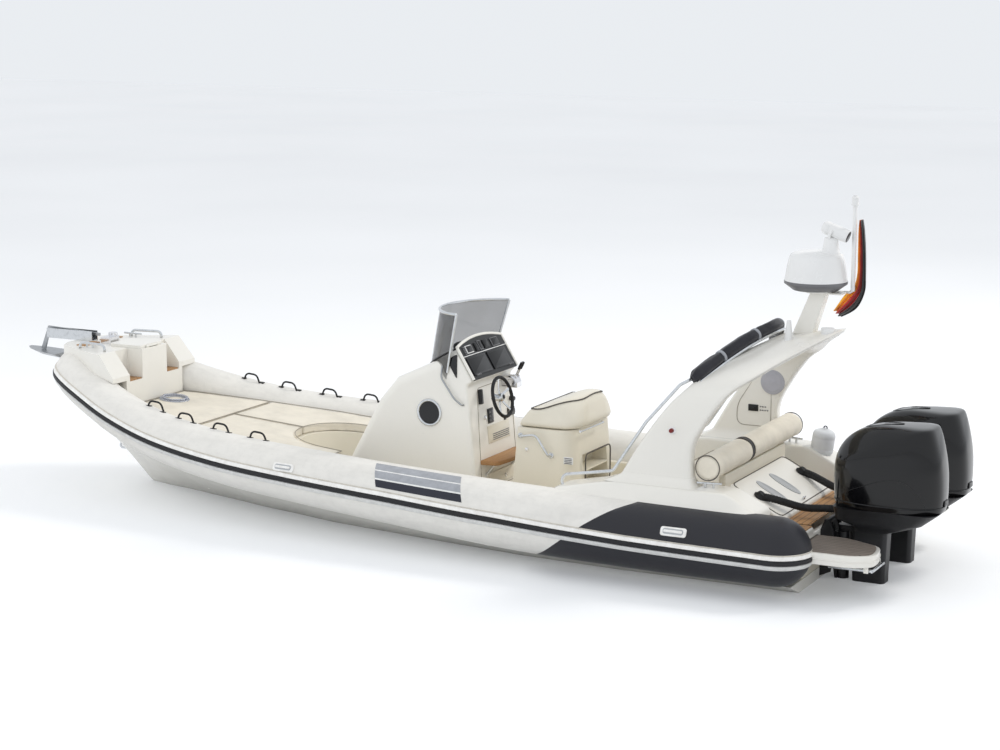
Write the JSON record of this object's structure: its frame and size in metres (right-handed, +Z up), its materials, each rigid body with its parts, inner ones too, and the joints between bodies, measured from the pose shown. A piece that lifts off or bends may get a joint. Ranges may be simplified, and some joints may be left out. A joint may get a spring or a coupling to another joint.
{
  "type": "rigid inflatable boat",
  "caption": "Rigid inflatable boat with steering console, radar arch, sun-bed bow, anchor locker and tilting, steering outboard engines.",
  "frame": {"origin": "on the centreline at the waterline, level with the aft ends of the side tubes", "axes": "+X towards the bow, +Y to port, +Z up"},
  "size_m": [8.84, 2.85, 3.7077],
  "materials": {
    "hull_gelcoat": "gloss gelcoat",
    "deck_gelcoat": "satin gelcoat",
    "tube_white": "matte coated fabric",
    "tube_black": "matte coated fabric",
    "strake_rubber": "matte rubber",
    "stainless": "polished",
    "chrome_trim": "polished",
    "galvanised": "galvanised",
    "teak": "oiled teak",
    "cushion_vinyl": "matte upholstery vinyl",
    "black_plastic": "satin",
    "smoked_glass": "smoked",
    "dark_glass": "dark",
    "white_plastic": "gloss",
    "grey_plastic": "textured",
    "canvas_black": "canvas",
    "flag_cloth": "woven",
    "engine_gloss": "gloss",
    "engine_black": "satin",
    "black_rubber": "matte",
    "grey_rubber": "matte",
    "propeller_steel": "satin",
    "fender_vinyl": "satin",
    "rope": "braided"
  },
  "bodies": {
    "boat": {"hull": "hull_gelcoat", "cockpit_moulding": "deck_gelcoat", "bow_seat_base": "deck_gelcoat", "tube_port": "tube_white", "tube_starboard": "tube_white", "tube_bow": "tube_white", "tube_tails": "tube_black", "strakes": "strake_rubber", "bow_platform": "deck_gelcoat", "bow_roller": "stainless", "windlass": "chrome_trim", "anchor": "galvanised", "teak": "teak", "cushion_port": "cushion_vinyl", "cushion_starboard": "cushion_vinyl", "cushion_fore": "cushion_vinyl", "console": "deck_gelcoat", "instrument_panel": "black_plastic", "windscreen": "smoked_glass", "windscreen_rim": "stainless", "portholes": "dark_glass", "helm_controls": "black_plastic", "helm_seat_base": "deck_gelcoat", "side_mouldings": "deck_gelcoat", "arch": "hull_gelcoat", "towing_eye": "stainless", "cleats": "stainless", "bimini": "canvas_black", "radar_pylon": "deck_gelcoat", "radome": "white_plastic", "searchlight": "white_plastic", "aerials": "white_plastic", "flagstaff": "stainless", "flag": "flag_cloth", "bench_base": "deck_gelcoat", "bench_cushion": "cushion_vinyl", "bench_backrest": "cushion_vinyl", "stern_deck": "deck_gelcoat", "bathing_platforms": "grey_plastic", "clamp_brackets": "engine_black", "conduits": "black_rubber", "grab_rails": "stainless", "grab_loops": "black_rubber", "carry_handles": "grey_rubber", "fender": "fender_vinyl", "rope_coil": "rope"},
    "anchor_lid": {"anchor_locker_lid": "deck_gelcoat"},
    "galley_lid_body": {"galley_lid": "deck_gelcoat"},
    "wheel": {"steering_wheel": "black_plastic"},
    "ladder_body": {"ladder": "stainless"},
    "tilt_unit_port": {"swivel_port": "engine_black"},
    "engine_port": {"cowl_port": "engine_gloss", "leg_port": "engine_black"},
    "prop_port": {"propeller_port": "propeller_steel"},
    "tilt_unit_starboard": {"swivel_starboard": "engine_black"},
    "engine_starboard": {"cowl_starboard": "engine_gloss", "leg_starboard": "engine_black"},
    "prop_starboard": {"propeller_starboard": "propeller_steel"}
  },
  "joints": [
    {"name": "anchor_lid_hinge", "type": "hinge", "parent": "boat", "child": "anchor_lid", "pos_m": [6.658, 0, 1.262], "axis": [0, -1, 0], "range_deg": [0, 95]},
    {"name": "galley_lid_hinge", "type": "hinge", "parent": "boat", "child": "galley_lid_body", "pos_m": [2.797, 0, 0.95], "axis": [0, 1, 0], "range_deg": [0, 80]},
    {"name": "ladder_hinge", "type": "hinge", "parent": "boat", "child": "ladder_body", "pos_m": [-0.442, 0.9, 0.26], "axis": [0, 1, 0], "range_deg": [0, 95]},
    {"name": "steering_wheel_turn", "type": "hinge", "parent": "boat", "child": "wheel", "pos_m": [3.062, 0.11, 1.112], "axis": [0.9659, 0, -0.2588], "range_deg": [-540, 540]},
    {"name": "tilt_port", "type": "hinge", "parent": "boat", "child": "tilt_unit_port", "pos_m": [0.1, 0.35, 0.45], "axis": [0, 1, 0], "range_deg": [0, 70], "deforming": ["conduits"]},
    {"name": "steer_port", "type": "hinge", "parent": "tilt_unit_port", "child": "engine_port", "pos_m": [0, 0.35, 0.1], "axis": [0, 0, 1], "range_deg": [-30, 30], "deforming": ["conduits"]},
    {"name": "propeller_port_turn", "type": "hinge", "parent": "engine_port", "child": "prop_port", "pos_m": [-0.48, 0.35, -0.56], "axis": [1, 0, 0], "continuous": true},
    {"name": "tilt_starboard", "type": "hinge", "parent": "boat", "child": "tilt_unit_starboard", "pos_m": [0.1, -0.35, 0.45], "axis": [0, 1, 0], "range_deg": [0, 70], "deforming": ["conduits"]},
    {"name": "steer_starboard", "type": "hinge", "parent": "tilt_unit_starboard", "child": "engine_starboard", "pos_m": [0, -0.35, 0.1], "axis": [0, 0, 1], "range_deg": [-30, 30], "deforming": ["conduits"]},
    {"name": "propeller_starboard_turn", "type": "hinge", "parent": "engine_starboard", "child": "prop_starboard", "pos_m": [-0.48, -0.35, -0.56], "axis": [1, 0, 0], "continuous": true}
  ],
  "couplings": [
    {"joint": "steer_starboard", "follows": "steer_port", "ratio": 1},
    {"joint": "steering_wheel_turn", "follows": "steer_port", "ratio": 18}
  ]
}
